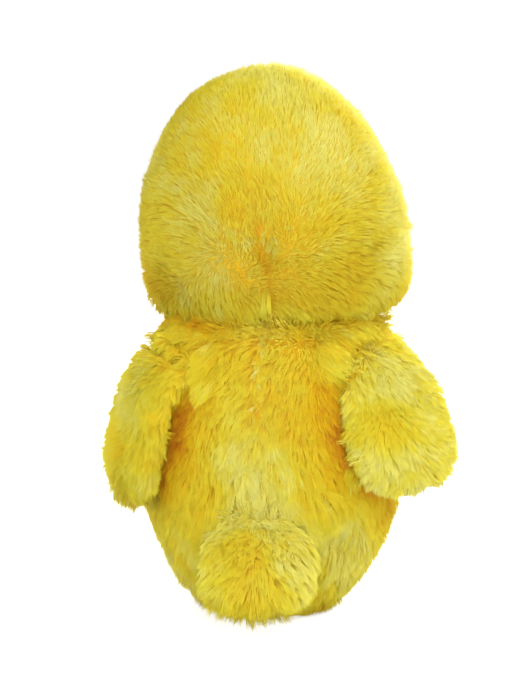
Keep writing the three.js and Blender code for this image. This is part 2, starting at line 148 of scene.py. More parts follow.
def near(points, place, reach):
    """1 at a place, falling to 0 at reach from it, in mm."""
    return 1 - ease_mm(np.linalg.norm(points - place, axis=1), 0, reach)


def ripple(points, size, seed):
    """Smooth noise from about -1 to 1, in patches of about this size in mm."""
    rng = np.random.default_rng(seed)
    waves = unit(rng.normal(size=(12, 3))) * (2 * math.pi / (size * MM)) * rng.uniform(0.4, 1.1, (12, 1))
    phases = rng.uniform(0, 2 * math.pi, 12)
    return np.sin(points @ waves.T + phases).sum(1) / 3.5


def tree_of(points):
    """A tree that finds the nearest of these points, by its number."""
    tree = KDTree(len(points))
    for number, point in enumerate(points):
        tree.insert(point, number)
    tree.balance()
    return tree


def surface_of(piece):
    """A tree that finds the nearest place on a piece."""
    return BVHTree.FromObject(piece, bpy.context.evaluated_depsgraph_get())


def vectors_of(values, name):
    """A mesh's points or normals, one row each."""
    made = np.empty(len(values) * 3)
    values.foreach_get(name, made)
    return made.reshape(-1, 3)


def places_of(piece):
    return vectors_of(piece.data.vertices, "co")


def normals_of(piece):
    return vectors_of(piece.data.vertex_normals, "vector")


# Materials

def material(name):
    made = bpy.data.materials.new(name)
    made.use_nodes = True
    made.node_tree.nodes.clear()
    return made, made.node_tree.nodes, made.node_tree.links


def put(nodes, kind, values=()):
    """A new node, with constants in its sockets."""
    node = nodes.new(f"ShaderNode{kind}")
    for socket, value in dict(values).items():
        node.inputs[socket].default_value = value
    return node


def wire(links, *ways):
    """Joins nodes: (from a node, its output, to a node, its input) for each link."""
    for source, output, target, socket in ways:
        links.new(source.outputs[output], target.inputs[socket])


def ramp(nodes, stops):
    """A colour ramp. stops: (place, (r, g, b) as 8-bit screen colour)."""
    node = put(nodes, "ValToRGB")
    elements = node.color_ramp.elements
    while len(elements) < len(stops):
        elements.new(0.5)
    for element, (place, colour) in zip(elements, stops):
        element.position = place
        element.color = (*(linear(channel) for channel in colour), 1)
    return node


def linear(channel):
    share = channel / 255
    return share / 12.92 if share <= 0.04045 else ((share + 0.055) / 1.055) ** 2.4


def pile_material(name, roots, tips, through):
    """Pile whose colour runs from roots to tips along a strand, each a ramp over the tone."""
    made, nodes, links = material(name)
    tone, along = put(nodes, "Attribute"), put(nodes, "Attribute")
    tone.attribute_name = "tone"
    along.attribute_name = "along"
    root, tip = ramp(nodes, roots), ramp(nodes, tips)
    blend = put(nodes, "Mix")
    blend.data_type = "RGBA"
    shader = put(nodes, "BsdfPrincipled", {
        "Roughness": 0.55, "Specular IOR Level": 0.2, "Sheen Weight": 0.12, "Sheen Roughness": 0.4,
        "Sheen Tint": (1, 0.8, 0.35, 1),
    })
    glow = put(nodes, "BsdfTranslucent")
    both = put(nodes, "MixShader", {0: through})
    wire(
        links,
        (tone, "Fac", root, "Fac"), (tone, "Fac", tip, "Fac"), (along, "Fac", blend, "Factor"),
        (root, "Color", blend, "A"), (tip, "Color", blend, "B"),
        (blend, "Result", shader, "Base Color"), (blend, "Result", glow, "Color"),
        (shader, "BSDF", both, 1), (glow, "BSDF", both, 2),
        (both, "Shader", put(nodes, "OutputMaterial"), "Surface"),
    )
    return made


def blotched(name, dark, light, scale, detail, values):
    """A material whose colour is mottled from dark to light, and what more can be joined to."""
    made, nodes, links = material(name)
    places = put(nodes, "TexCoord")
    mottle = put(nodes, "TexNoise", {"Scale": scale, "Detail": detail})
    colours = ramp(nodes, ((0.3, dark), (0.7, light)))
    shader = put(nodes, "BsdfPrincipled", values)
    wire(
        links,
        (places, "Object", mottle, "Vector"), (mottle, "Fac", colours, "Fac"),
        (colours, "Color", shader, "Base Color"), (shader, "BSDF", put(nodes, "OutputMaterial"), "Surface"),
    )
    return made, nodes, links, places, mottle, shader


def cloth_material(name, dark, light, scale, bump, roughness=0.9):
    """Cloth seen through its pile, or brushed fleece: mottled colour and a fine nap."""
    values = {"Roughness": roughness, "Specular IOR Level": 0.15, "Sheen Weight": 0.3}
    made, nodes, links, places, mottle, shader = blotched(name, dark, light, scale, 6, values)
    fuzz = put(nodes, "TexNoise", {"Scale": scale * 9, "Detail": 3})
    relief = put(nodes, "Bump", {"Strength": bump, "Distance": 0.4 * MM})
    wire(
        links,
        (places, "Object", fuzz, "Vector"), (fuzz, "Fac", relief, "Height"),
        (relief, "Normal", shader, "Normal"),
    )
    return made


def plastic_material(name, colour, shade, roughness, coat):
    """Moulded plastic with faint mottling in its colour and polish."""
    values = {"Coat Weight": coat, "Coat Roughness": 0.05}
    made, nodes, links, places, mottle, shader = blotched(name, shade, colour, 240, 4, values)
    polish = put(nodes, "MapRange", {"To Min": roughness * 0.8, "To Max": roughness * 1.25})
    wire(links, (mottle, "Fac", polish, "Value"), (polish, "Result", shader, "Roughness"))
    return made


# Low tones run to orange-brown, which the painted shade in creases and dents takes; along each strand the
# roots are warmer and darker than the tips, painted shade deep in the pile.
FUR_ROOTS = (
    (0.0, (206, 110, 12)), (0.15, (238, 148, 16)), (0.35, (250, 190, 16)), (0.7, (252, 214, 26)),
    (1.0, (253, 238, 74)),
)
FUR_TIPS = (
    (0.0, (230, 152, 24)), (0.15, (247, 196, 28)), (0.35, (250, 224, 32)), (0.7, (252, 244, 70)),
    (1.0, (254, 252, 152)),
)


def dimmed(stops, share):
    return tuple((place, tuple(channel * share for channel in colour)) for place, colour in stops)


fur = pile_material("fur", FUR_ROOTS, FUR_TIPS, 0.5)
# The head's pile is the fur dimmed: painted shade, as the lamps light the head more than the body.
shaded_head_pile = pile_material("fur_head_painted_shade", dimmed(FUR_ROOTS, 0.94), dimmed(FUR_TIPS, 0.94), 0.5)
nap = pile_material(
    "fleece_nap",
    roots=((0.0, (206, 96, 14)), (1.0, (232, 128, 30))),
    tips=((0.0, (236, 138, 36)), (1.0, (255, 178, 84))),
    through=0.3,
)
backing = cloth_material("fur_backing", (208, 164, 26), (226, 190, 40), 60, 0.4)
fleece = cloth_material("fleece", (206, 98, 18), (238, 138, 40), 90, 0.5)
thread = cloth_material("thread", (190, 84, 14), (214, 106, 24), 900, 0.3, 0.6)
eye_plastic = plastic_material("eye_plastic", (14, 13, 14), (8, 8, 9), 0.09, 0.6)
washer_plastic = plastic_material("washer_plastic", (226, 226, 224), (206, 206, 204), 0.5, 0.0)


# Skins

def dress(mesh, cover):
    """Makes a mesh smooth, in one material."""
    mesh.polygons.foreach_set("use_smooth", np.ones(len(mesh.polygons), bool))
    mesh.materials.clear()
    mesh.materials.append(cover)


def skin(name, nodes, inset, voxel, relax, cloth):
    """A closed, smooth, stuffed skin this far inside the CAD nodes, taken together.

    inset and voxel, the size of its faces, are in mm, and relax counts its smoothing steps.
    """
    joined = bmesh.new()
    for node in nodes:
        joined.from_mesh(frame["nodes"][node].data)
    rough = bpy.data.meshes.new(name)
    joined.to_mesh(rough)
    joined.free()
    piece = link(bpy.data.objects.new(name, rough))

    def even(iterations):
        remesh = piece.modifiers.new("even", "REMESH")
        remesh.mode = "VOXEL"
        remesh.voxel_size = voxel * MM
        smooth = piece.modifiers.new("smooth", "SMOOTH")
        smooth.factor = 0.5
        smooth.iterations = iterations

    even(relax)
    sink = piece.modifiers.new("sink", "DISPLACE")
    sink.mid_level = 0
    sink.strength = -inset * MM
    if inset > 1:
        even(3)
    settled = bpy.data.meshes.new_from_object(piece.evaluated_get(bpy.context.evaluated_depsgraph_get()))
    piece.modifiers.clear()
    piece.data = settled
    settled.name = name
    dress(settled, cloth)
    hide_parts(*nodes)
    return piece


def shape(piece, places):
    piece.data.vertices.foreach_set("co", np.asarray(places, np.float32).ravel())
    piece.data.update()


def plump(piece, seams, most):
    """Stuffs a skin with cloth simulation, and keeps each point within most, in mm, of its start.

    seams gives how firmly each point is held, from 0 to 1.
    """
    start = places_of(piece)
    hold = piece.vertex_groups.new(name="seams")
    held = seams(start)
    for index in np.flatnonzero(held > 0.02):
        hold.add([int(index)], float(held[index]), "REPLACE")
    cloth = piece.modifiers.new("stuffing", "CLOTH")
    settings = cloth.settings
    settings.quality = 5
    settings.mass = 0.3
    settings.tension_stiffness = settings.compression_stiffness = 12
    settings.shear_stiffness = 4
    settings.bending_stiffness = 0.6
    settings.vertex_group_mass = "seams"
    settings.use_pressure = True
    settings.uniform_pressure_force = SWELL
    settings.effector_weights.gravity = 0
    cloth.collision_settings.use_collision = False
    scene = bpy.context.scene
    for frame_number in range(1, 13):
        scene.frame_set(frame_number)
    settled = piece.evaluated_get(bpy.context.evaluated_depsgraph_get())
    end = np.array([vertex.co for vertex in settled.data.vertices])
    piece.modifiers.clear()
    piece.vertex_groups.clear()
    scene.frame_set(1)
    move = end - start
    far = np.maximum(np.linalg.norm(move, axis=1, keepdims=True), 1e-9)
    shape(piece, start + move * np.minimum(1, most * MM / far))


def press(piece, lines, depth, width):
    """Presses a skin in along lines of points, as a seam draws it in, this deep and wide in mm."""
    places = places_of(piece)
    tree = tree_of([point for line in lines for point in line])
    away = np.fromiter((tree.find(place)[2] for place in places), float, len(places))
    shape(piece, places - normals_of(piece) * (depth * MM * bell(away, width))[:, None])


def tube(made, loops):
    """Faces between loops of points, one after the other, and over the first."""
    for low, high in zip(loops, loops[1:]):
        for side in range(len(low)):
            after = (side + 1) % len(low)
            made.faces.new((low[side], low[after], high[after], high[side]))
    made.faces.new(list(reversed(loops[0])))


def finished(made, name, cover):
    """The smooth piece of such faces, in one material."""
    bmesh.ops.recalc_face_normals(made, faces=made.faces)
    mesh = bpy.data.meshes.new(name)
    made.to_mesh(mesh)
    made.free()
    dress(mesh, cover)
    return link(bpy.data.objects.new(name, mesh))


def stitches(name, base, line):
    """A row of thread stitches that lie on a skin along a line of points."""
    pitch, length, thickness = 3.2 * MM, 2.4 * MM, 0.6 * MM
    tree = surface_of(base)
    steps = np.linalg.norm(np.diff(line, axis=0), axis=1)
    way = np.concatenate(((0,), np.cumsum(steps)))
    made = bmesh.new()
    sides, rings = 6, 5

    def on_line(at):
        return Vector([np.interp(at, way, line[:, axis]) for axis in range(3)])

    for start in np.arange(0, way[-1] - length, pitch):
        loops = []
        for step in range(rings):
            share = step / (rings - 1)
            at = start + share * length
            place, normal = tree.find_nearest(on_line(at))[:2]
            ahead = on_line(min(at + 0.2 * MM, way[-1]))
            along = (tree.find_nearest(ahead)[0] - place).normalized()
            aside = along.cross(normal).normalized()
            lift = thickness * (1.2 * math.sin(math.pi * share) - 0.5)
            size = thickness * (0.45 + 0.55 * math.sin(math.pi * share)) / 2
            loop = []
            for turn in (2 * math.pi * side / sides for side in range(sides)):
                up, out = lift + size * math.sin(turn), size * math.cos(turn)
                loop.append(made.verts.new(place + normal * up + aside * out))
            loops.append(loop)
        tube(made, loops)
        made.faces.new(loops[-1])
    piece = finished(made, name, thread)
    return piece


def solid_of(piece):
    """What clear_of needs of a closed piece: its tree and its box."""
    places = places_of(piece)
    return surface_of(piece), places.min(0), places.max(0)


def scatter(piece, count, rng):
    """Evenly spread points on a piece, with its normals there."""
    mesh = piece.data
    mesh.calc_loop_triangles()
    corners = np.empty(len(mesh.loop_triangles) * 3, np.int32)
    mesh.loop_triangles.foreach_get("vertices", corners)
    corners = corners.reshape(-1, 3)
    places, normals = places_of(piece), normals_of(piece)
    a, b, c = (places[corners[:, k]] for k in range(3))
    ladder = np.cumsum(np.linalg.norm(np.cross(b - a, c - a), axis=1))
    picks = (np.arange(count) + rng.random(count)) * (ladder[-1] / count)
    face = np.minimum(np.searchsorted(ladder, picks), len(ladder) - 1)
    u, v = rng.random((2, count))
    over = u + v > 1
    u[over], v[over] = 1 - u[over], 1 - v[over]
    weights = np.stack((1 - u - v, u, v), 1)
    points = sum(weights[:, [k]] * corner[face] for k, corner in enumerate((a, b, c)))
    facing = sum(weights[:, [k]] * normals[corners[face, k]] for k in range(3))
    return points, unit(facing)


def inside(tree, place):
    """Whether a point is in a closed piece: a line from it leaves once more than it enters."""
    crossings = 0
    found = tree.ray_cast(place, PROBE)[0]
    while found is not None:
        crossings += 1
        found = tree.ray_cast(found + PROBE * 1e-6, PROBE)[0]
    return crossings % 2 == 1


def clear_of(points, solids, room):
    """Which points lie outside these closed pieces, by at least this much room."""
    free = np.ones(len(points), bool)
    for tree, box_low, box_high in solids:
        close = ((points > box_low - room) & (points < box_high + room)).all(1)
        for index in np.flatnonzero(free & close):
            place = Vector(points[index])
            free[index] = not inside(tree, place) and tree.find_nearest(place)[3] > room
    return free


# Pile

def arc(points, normals, flow, length, first, last, share):
    """Where strands are at a share of their length, turning from first to last off the normal."""
    turn = np.where(np.abs(last - first) < 1e-3, 1e-3, last - first)
    end = first + turn * share
    up = (np.sin(end) - np.sin(first)) / turn
    out = (np.cos(first) - np.cos(end)) / turn
    return points + length[:, None] * (normals * up[:, None] + flow * out[:, None])


def comb(points, normals, style, rng):
    """The strands' middle lines, as one array of points for each ring, their tones and their sides.

    Where a style's flow is weak, such as where the pile parts or turns, the strands stand up.
    """
    count = len(points)
    tufts = list(style.get("groups", ()))
    gather = style["gather"](points)[:, None] if "gather" in style else 1
    for size, pull in style["tufts"]:
        centres = rng.choice(count, max(1, count // size), replace=False)
        tree = tree_of(points[centres])
        tuft = np.fromiter((tree.find(place)[1] for place in points), int, count)
        tufts.append((centres, tuft, pull))

    def spread(amount):
        """A value for each strand, partly shared by the strands of its tufts."""
        shared = sum(rng.normal(size=len(centres))[tuft] for centres, tuft, pull in tufts)
        return amount * (0.7 * shared + 0.5 * rng.normal(size=count))

    flow = style["flow"](points, normals)
    flow = flow - (flow * normals).sum(1, keepdims=True) * normals
    force = np.minimum(np.linalg.norm(flow, axis=1), 1)
    flow = unit(flow)
    twist = spread(style["wild"])[:, None]
    flow = flow * np.cos(twist) + np.cross(normals, flow) * np.sin(twist)
    length = style["length"](points) * np.exp(spread(0.1))
    first, last = (angle * mix(0.2, 1, force) + spread(math.radians(5)) for angle in style["lay"](points))
    tone = np.clip(style["tone"](points) + spread(style["mottle"]), 0, 1)
    lines = []
    for share in style["rings"]:
        line = arc(points, normals, flow, length, first, last, share)
        for centres, tuft, pull in reversed(tufts):
            key = centres[tuft]
            lead = line[key] + (points - points[key]) * 0.2
            line = mix(line, lead, pull * gather * share ** 1.5)
        line[:, 2] = np.maximum(line[:, 2], 0.5 * MM)
        lines.append(line)
    return lines, tone, np.cross(normals, flow)


def strands(name, lines, normals, tone, sides, style, rng):
    """One mesh of closed strands with three sides around their middle lines, which taper to a point.

    They are shaded mostly as the skin under them is, as dense pile that light soaks into. The
    style's outward share turns that shading away from the toy's middle, as in a crease.
    """
    outward = unit((lines[0] - HEAD_MIDDLE) * (1, 1, 0))
    normals = unit(mix(normals, outward, style.get("outward", at_neck)(lines[0])[:, None]))
    count, rings = len(tone), len(lines) - 1
    turn = rng.uniform(0, 2 * math.pi, count)
    per = 3 * rings + 1
    places, facing = np.empty((2, count, per, 3), np.float32)
    along = np.empty((count, per), np.float32)
    radius = style.get("radius", STRAND_RADIUS) * rng.uniform(0.75, 1.25, count)
    for ring in range(rings):
        axis = unit(lines[ring + 1] - lines[ring])
        aside = unit(sides - (sides * axis).sum(1, keepdims=True) * axis)
        upward = np.cross(axis, aside)
        share = style["rings"][ring]
        size = radius * (1 - 0.55 * share ** 1.5)
        for side in range(3):
            angle = turn + side * 2 * math.pi / 3
            offset = np.cos(angle)[:, None] * aside + np.sin(angle)[:, None] * upward
            places[:, 3 * ring + side] = lines[ring] + offset * size[:, None]
            facing[:, 3 * ring + side] = unit(mix(offset, normals, SKIN_SHADING))
        along[:, 3 * ring:3 * ring + 3] = share
    places[:, -1] = lines[-1]
    facing[:, -1] = normals
    along[:, -1] = 1

    spot = [(place, share) for share in style["rings"][:-1] for place in (0.1, 0.5, 0.9)] + [(0.5, 1)]
    faces = [(2, 1, 0)]
    top = 3 * rings - 3
    for side in range(3):
        after = (side + 1) % 3
        for low in range(0, top, 3):
            high = low + 3
            faces += [(low + side, low + after, high + after), (low + side, high + after, high + side)]
        faces.append((top + side, top + after, top + 3))
    spots = [[spot[corner] for corner in face] for face in faces]
    spots[0][1] = (0.5, 0.02)
    faces, spots = np.array(faces), np.array(spots)
    corners = (np.arange(count)[:, None, None] * per + faces).ravel().astype(np.int32)
    column = np.minimum(np.floor(tone * TONES), TONES - 1)
    map_u = (column[:, None, None] + spots[None, :, :, 0]) / TONES
    map_v = np.broadcast_to(0.02 + 0.96 * spots[None, :, :, 1], map_u.shape)

    mesh = bpy.data.meshes.new(name)
    mesh.vertices.add(count * per)
    mesh.vertices.foreach_set("co", places.ravel())
    mesh.loops.add(len(corners))
    mesh.loops.foreach_set("vertex_index", corners)
    mesh.polygons.add(len(corners) // 3)
    mesh.polygons.foreach_set("loop_start", np.arange(0, len(corners), 3, dtype=np.int32))
    mesh.polygons.foreach_set("loop_total", np.full(len(corners) // 3, 3, np.int32))
    dress(mesh, style.get("material", fur))
    uv = mesh.uv_layers.new(name="OFBake")
    uv.data.foreach_set("uv", np.stack((map_u, map_v), -1).astype(np.float32).ravel())
    tones = np.repeat((column + 0.5) / TONES, per).astype(np.float32)
    for attribute, values in (("tone", tones), ("along", along.ravel())):
        mesh.attributes.new(attribute, "FLOAT", "POINT").data.foreach_set("value", values)
    custom = mesh.attributes.new("custom_normal", "FLOAT_VECTOR", "POINT")
    custom.data.foreach_set("vector", facing.ravel())
    mesh.update(calc_edges=True)
    piece = link(bpy.data.objects.new(name, mesh))
    return piece


def pile(name, base, count, style, seed, others=(), room=0.0):
    """Grows pile on a skin, in as many panels as its triangles need, and returns the panels."""
    rng = np.random.default_rng(seed)
    points, normals = scatter(base, count, rng)
    keep = clear_of(points, others, room)
    if "bare" in style:
        keep &= ~style["bare"](points)
    points, normals = points[keep], normals[keep]
    lines, tone, sides = comb(points, normals, style, rng)
    rings = len(style["rings"]) - 1
    triangles = 6 * (rings - 1) + 4
    panels = math.ceil(len(points) * triangles / MOST_TRIANGLES)
    middle = points.mean(0)
    round_it = np.argsort(np.arctan2(points[:, 0] - middle[0], points[:, 1] - middle[1]))
    made = []
    for number, part in enumerate(np.array_split(round_it, panels)):
        panel = f"{name}_{number + 1}" if panels > 1 else name
        own = [line[part] for line in lines]
        made.append(strands(panel, own, normals[part], tone[part], sides[part], style, rng))
    return made


def tufts(name, base, spots, seed, coat=fur):
    """Grows single tufts on a skin. spots: the numbers of each, as in the tables of tufts below."""
    rng = np.random.default_rng(seed)
    tree = surface_of(base)
    roots, leans, rows, numbers, centres = [], [], [], [], []
    for number, spot in enumerate(spots):
        reach, count, length, tone = spot[6:]
        centres.append(len(roots))
        middle, facing = tree.find_nearest(Vector(spot[:3]) * MM)[:2]
        aside = facing.orthogonal().normalized()
        upward = facing.cross(aside)
        for strand in range(count):
            turn = rng.uniform(0, 2 * math.pi)
            out = reach * MM * math.sqrt(rng.random()) * min(strand, 1)
            way = aside * math.cos(turn) + upward * math.sin(turn)
            found, normal = tree.find_nearest(middle + way * out)[:2]
            roots.append(found)
            leans.append(normal)
            rows.append((*spot[3:6], length * MM, tone))
            numbers.append(number)
    points, normals, rows = np.array(roots), np.array(leans), np.array(rows, float)
    style = {
        "flow": lambda points, normals: unit(rows[:, :3]), "length": lambda points: rows[:, 3],
        "tone": lambda points: rows[:, 4], "lay": lay(30, 84), "rings": LONG,
        "groups": ((np.array(centres), np.array(numbers), TUFT_PULL),), "tufts": ((7, 0.3),),
        "material": coat, "wild": 0.16, "mottle": 0.07,
    }
    lines, tone, sides = comb(points, normals, style, rng)
    return strands(name, lines, normals, tone, sides, style, rng)


# Flows, tones and lengths of each coat

def constant(value):
    return lambda points: np.full(len(points), value)


def at_neck(points):
    """The share for pile to be shaded as facing out: more by the neck, on the back alone."""
    z = points[:, 2]
    neck = ease_mm(z, 134, 144) * (1 - ease_mm(z, 156, 168)) * ease_mm(points[:, 1], 0, 24)
    return 0.3 + 0.45 * neck


def seam_offset(points):
    """How far points lie to the toy's left of the seam down its back."""
    way = (points[:, 2] - SEAM_LOW[2]) / (SEAM_TOP[2] - SEAM_LOW[2])
    return points[:, 0] - mix(SEAM_LOW[0], SEAM_TOP[0], way)


def columns(*values):
    return np.stack(np.broadcast_arrays(*values), -1).astype(float)


def wander(points, size, seed):
    """A direction that drifts over the surface, in patches of about this size in mm."""
    return columns(*(ripple(points, size, seed + k) for k in range(3)))


def head_flow(points, normals):
    """Up the back and over the crown to the face, but swept across below the swirl."""
    x, y, z = points.T
    reach = points - HEAD_MIDDLE
    share = mix(1, 1 - ease_mm(np.abs(reach[:, 0]), 20, 60), ease_mm(y, -40, -10))
    over = unit(columns(0, -reach[:, 2], reach[:, 1])) * share[:, None]
    away = points - HEAD_SWIRL
    flow = 0.9 * over + 0.6 * unit(away) * ease_mm(np.linalg.norm(away, axis=1), 0, 35)[:, None]
    flow[:, 1] -= 1.1 * ease_mm(np.abs(reach[:, 0]), 36, 66)
    behind = ease_mm(y, -20, 25)
    low = (1 - ease_mm(z, 152, 196)) * behind
    left = ease_mm(x - HEAD_SWIRL[0], -4, 4)
    drop = mix(-0.45 - 0.9 * ease_mm(-x, 10, 60), -0.42, left)
    drop -= 0.5 * (1 - ease_mm(z, 140, 156))
    flow = mix(flow, 1.2 * unit(columns(-1, 0, drop)), low[:, None])
    beside = x - HEAD_SWIRL[0]
    height = ease_mm(z, 172, 184) * (1 - ease_mm(z, 190, 215))
    parting = behind * height * bell(beside, 4)
    flow[:, 0] += 0.7 * np.sign(beside) * parting
    return flow + mix(0.2, 0.5, ease_mm(y, -40, 0))[:, None] * wander(points, 32, 11)


def head_rim(points):
    """1 at the lower edge of the head's back, whose pile hangs over the neck, most on its left."""
    x, y, z = points.T
    right = ease_mm(-x, 0, 40)
    return ease_mm(y, -30, 10) * (1 - ease_mm(z, 150, 168)) * (1 - 0.9 * right)


def head_length(points):
    x, y, z = points.T
    crown = ease_mm(z, 200, 235) * ease_mm(np.abs(x + 5 * MM), 4, 30)
    right = ease_mm(-x, -6, 26) * (1 - ease_mm(z, 148, 166)) * ease_mm(y, -30, 10)
    cheek = ease_mm(x, 44, 60) * (1 - ease_mm(z, 158, 176))
    return 7 * MM + 5 * MM * head_rim(points) + (2.5 * cheek - 2.8 * crown - 3.2 * right) * MM


def head_tone(points):
    z = points[:, 2]
    # Paler at the crown and darker low on the head: painted light from above and painted shade under the
    # head.
    tone = 0.74 + 0.02 * ease_mm(z, 200, 250) - 0.16 * (1 - ease_mm(z, 150, 190))
    tone += 0.1 * ripple(points, 34, 21) + 0.06 * ripple(points, 14, 22)
    behind = points[:, 1] > 0
    crack = np.interp(z, [s[1] * MM for s in HEAD_SEAM], [s[0] * MM for s in HEAD_SEAM])
    beside = np.abs(points[:, 0] - crack)
    seam = behind * (1 - ease_mm(z, 196, 204)) * (1 - ease_mm(beside, 0.5, 2.6))
    marks = 0.6 + 0.4 * ease(ripple(points, 8, 23), -0.3, 0.6)
    # Darker along the seam in broken marks, and round the dent as painted shade.
    return tone - 0.36 * seam * marks - 0.14 * near(points, HEAD_DIMPLE, 12)


def body_flow(points, normals):
    x, y, z = points.T
    beside = seam_offset(points)
    behind = ease_mm(y, -10, 20)
    part = np.sign(beside) * 0.35 * bell(beside, 6) * behind * ease_mm(z, 84, 100)
    flow = columns(part + 0.25 * np.sign(x) * (1 - ease_mm(z, 30, 90)), 0, -1)
    tuft = near(points, LOW_TUFT, 26)[:, None]
    flow = mix(flow, columns(1, 0.2, -0.25), tuft)
    collar = behind * ease_mm(z, 134, 147)
    return (flow + 0.3 * wander(points, 50, 31)) * mix(1, 0.25, collar)[:, None]


def body_tone(points):
    x, y, z = points.T
    beside = seam_offset(points)
    behind = ease_mm(y, -10, 20)
    tone = 0.6 + 0.1 * ripple(points, 36, 41) + 0.06 * ripple(points, 14, 42)
    # Paler down the middle of the lower back: painted light on the rounded back.
    tone += 0.14 * behind * (1 - ease_mm(np.abs(beside), 6, 40)) * (1 - ease_mm(z, 60, 110))
    marks = ease(ripple(points, 18, 43), -0.2, 0.9)
    tone -= 0.3 * behind * marks * bell(beside, 2.5)
    # Darker by the neck, in patches: painted shade under the head.
    tone -= (0.04 + 0.1 * ripple(points, 22, 44)) * ease_mm(z, 136, 152)
    # Darker towards the sides of the back: painted shade where it turns away from the light.
    tone -= 0.14 * ease_mm(np.abs(x - 4 * MM), 16, 36) * ease_mm(z, 50, 80) * behind
    # Darker where a wing's edge meets the back: painted shade in the crease.
    tone -= 0.32 * crease(points) * (0.9 + 0.2 * ripple(points, 9, 45))
    # Paler at the swirl of pale tufts low on the right, and over the tail's top as painted light, where the
    # pile faces up.
    return tone + 0.26 * near(points, LOW_TUFT, 24) + 0.2 * near(points, TAIL_TOP, 26)


def crease(points):
    """1 where the body's pile meets a wing's edge below its shoulder, falling to 0 on both sides."""
    x, y, z = points.T
    heights = np.array(EDGE_HEIGHTS) * MM
    left, right = np.interp(z, heights, LEFT_EDGE) * MM, np.interp(z, heights, RIGHT_EDGE) * MM
    beside = np.where(x > 0, x - left, right - x)
    height = ease_mm(z, 60, 76) * (1 - ease_mm(z, 114, 134))
    return bell(beside, 7.5) * height * ease_mm(y, 10, 24)


def body_length(points):
    x, y, z = points.T
    shorter = 1 - 0.3 * crease(points) - 0.2 * ease_mm(np.abs(x), 40, 60)
    collar = ease_mm(y, -10, 20) * ease_mm(z, 138, 148)
    low = 1 - ease_mm(z, 12, 24)
    return 9.5 * MM * shorter + 10 * MM * over_tail(points) + (3 * collar - 2 * low) * MM


def body_lay(points):
    return lean((32, 12), (73, 84), over_tail(points))


def over_tail(points):
    """1 where the back's pile starts that falls over the top of the tail."""
    x, y, z = points.T
    across = 1 - ease_mm(np.abs(x - TAIL_TOP[0]), 20, 34)
    return (y > 20 * MM) * across * ease_mm(z, 50, 56) * (1 - ease(z, 66 * MM, TAIL_TOP[2]))


def lean(first, last, share):
    """How far strands lean where they start and where they end, each mixed from two angles."""
    return [mix(math.radians(a), math.radians(b), share) for a, b in (first, last)]


def lay(first, last):
    return lambda points: lean((first, first), (last, last), np.zeros(len(points)))


SHORT = (0.0, 0.5, 1.0)
LONG = (0.0, 0.35, 0.7, 1.0)

head_style = {
    "flow": head_flow, "tone": head_tone, "lay": lay(14, 54), "length": head_length,
    "gather": lambda points: 1 + 1.2 * head_rim(points), "material": shaded_head_pile,
    "rings": SHORT, "tufts": ((6, 0.22), (40, 0.14)), "wild": 0.26, "mottle": 0.04,
}
body_style = {
    "flow": body_flow, "tone": body_tone, "lay": body_lay, "length": body_length,
    "rings": SHORT, "tufts": ((7, 0.22), (50, 0.14)), "wild": 0.28, "mottle": 0.045,
}


def limb_style(root, tip, flow, tone, length, gather, flat_root, body_shade, inner, seed):
    """Pile along a limb from root to tip.

    flat_root is how flat it lies where it starts, from 0 to 1. The next is what its tone loses by
    the body, painted shade where limb and body meet, and inner what its length loses there.
    """
    span = tip - root

    def by_body(points):
        tree = body_solid[0]
        return 1 - ease_mm(np.array([tree.find_nearest(point)[3] for point in points]), 2, 12)

    def way(points):
        return np.clip(((points - root) @ span) / (span @ span), 0, 1)

    def combed(points, normals):
        middle = root + way(points)[:, None] * span
        fan = 0.7 * unit(points - middle) * ease(way(points), 0.1, 0.8)[:, None]
        down = (unit(span) + fan) * mix(1.6, 1, ease(way(points), 0.05, 0.35))[:, None]
        return flow(points, normals, down) + 0.3 * wander(points, 30, seed)

    def coloured(points):
        mottled = 0.09 * ripple(points, 26, seed + 5) + 0.05 * ripple(points, 12, seed + 6)
        high = mix(1, 0.35, ease_mm(points[:, 2], 116, 132))
        # The tone drops close to the body, less so up by the shoulder: painted shade where limb and body
        # meet.
        return tone(points, way(points)) + mottled - body_shade * by_body(points) * high

    def leaning(points):
        return lean((34, 64), (74, 84), flat_root * (1 - ease(way(points), 0, 0.3)))

    return {
        "flow": combed, "tone": coloured, "lay": leaning, "gather": gather,
        "length": lambda points: length(points, way(points)) * MM - inner * by_body(points),
        "rings": LONG, "tufts": ((8, 0.26), (50, 0.18)), "wild": 0.2, "mottle": 0.045,
        "outward": constant(0.45),
    }


def hollow_flow(points, normals, combed):
    """The right wing's pile: combed down to its hollow, and fanning out of it below."""
    away = points - WING_HOLLOW
    reach = np.linalg.norm(away, axis=1)
    below = 1 - ease(points[:, 2], WING_HOLLOW[2] - 8 * MM, WING_HOLLOW[2] + 16 * MM)
    turned = 1.3 * unit(away - (0, 0, 6 * MM)) * mix(0.4, 1, ease_mm(reach, 0, 14))[:, None]
    return mix(combed, turned, (below * near(points, WING_HOLLOW, 60) ** 0.5)[:, None])


def hollow_tone(points, way):
    lobe = 1 - ease_mm(points[:, 2], 90, 101)
    # Paler towards the root and on the lower lobe, and darker round the hollow above the lobe, the latter
    # painted shade in the dent.
    return 0.76 + 0.1 * (1 - way) + 0.05 * lobe - 0.2 * near(points, WING_HOLLOW, 22) * (1 - lobe)


def hollow_length(points, way):
    low = (1 - ease_mm(points[:, 2], 72, 84)) * (1 - ease_mm(-points[:, 0], 72, 80))
    return mix(9, 11, ease(way, 0.5, 1)) - 4 * near(points, WING_HOLLOW, 15) - 4.5 * low


def tail_flow(points, normals, combed):
    """The tail's pile: over it from the back and down, and fanning out below its middle."""
    away = points - TAIL_MIDDLE
    below = 1 - ease(points[:, 2], TAIL_MIDDLE[2] - 12 * MM, TAIL_MIDDLE[2] + 10 * MM)
    sideways = np.abs(normals[:, 0])
    over = 1.6 * columns(0, normals[:, 2] + 0.3 * sideways, -normals[:, 1] - sideways)
    fan = unit(away * (1, 0.3, 1) - (0, 0, 6 * MM)) + (0, 0, -0.4)
    return mix(over, fan, below[:, None])


